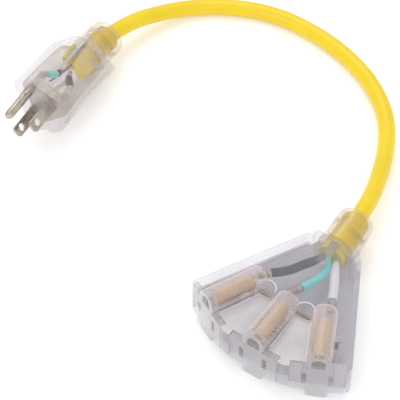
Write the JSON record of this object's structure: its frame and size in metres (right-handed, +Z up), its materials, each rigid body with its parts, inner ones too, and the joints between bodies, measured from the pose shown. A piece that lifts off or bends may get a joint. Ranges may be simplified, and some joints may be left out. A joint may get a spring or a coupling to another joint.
{
  "type": "grounded extension cord with three-outlet block",
  "caption": "Heavy round cord with a clear three-way outlet block at one end and a clear grounded plug with flat blades and a round pin at the other.",
  "frame": {"origin": "centre of the outlet block's footprint, on the surface the object lies on", "axes": "+Z up; -Y the way the middle outlet faces; +Y the way the cord leaves the block; +X to the right seen from behind the block"},
  "size_m": [0.2394, 0.2132, 0.0397],
  "materials": {
    "clear_shell": "clear, slightly grey",
    "clear_face": "clear, polished",
    "clear_collar": "clear, soft",
    "clear_plug": "clear, slightly cloudy",
    "yellow_jacket": "satin",
    "brass": "rolled strip",
    "nickel": "nickel plated",
    "crimp_metal": "tinned",
    "black_wire": "satin",
    "green_wire": "satin",
    "white_wire": "satin"
  },
  "bodies": {
    "root": {"block_collar": "clear_collar", "block_crimp_ground": "crimp_metal", "block_crimp_hot": "crimp_metal", "block_crimp_neutral": "crimp_metal", "block_jacket_end": "yellow_jacket", "block_lower_shell": "clear_shell", "block_upper_shell": "clear_shell", "block_wire_black": "black_wire", "block_wire_green": "green_wire", "block_wire_white": "white_wire", "cord": "yellow_jacket", "ground_bus": "brass", "ground_contact_left": "brass", "ground_contact_middle": "brass", "ground_contact_right": "brass", "hot_bus": "brass", "hot_contact_left": "brass", "hot_contact_middle": "brass", "hot_contact_right": "brass", "neutral_bus": "brass", "neutral_contact_left": "brass", "neutral_contact_middle": "brass", "neutral_contact_right": "brass", "outlet_face_left": "clear_face", "outlet_face_middle": "clear_face", "outlet_face_right": "clear_face", "plug_blade_hot": "nickel", "plug_blade_neutral": "nickel", "plug_body": "clear_plug", "plug_collar": "clear_collar", "plug_crimp_ground": "crimp_metal", "plug_crimp_hot": "crimp_metal", "plug_crimp_neutral": "crimp_metal", "plug_ground_pin": "nickel", "plug_jacket_end": "yellow_jacket", "plug_wire_black": "black_wire", "plug_wire_green": "green_wire", "plug_wire_white": "white_wire"}
  },
  "joints": []
}
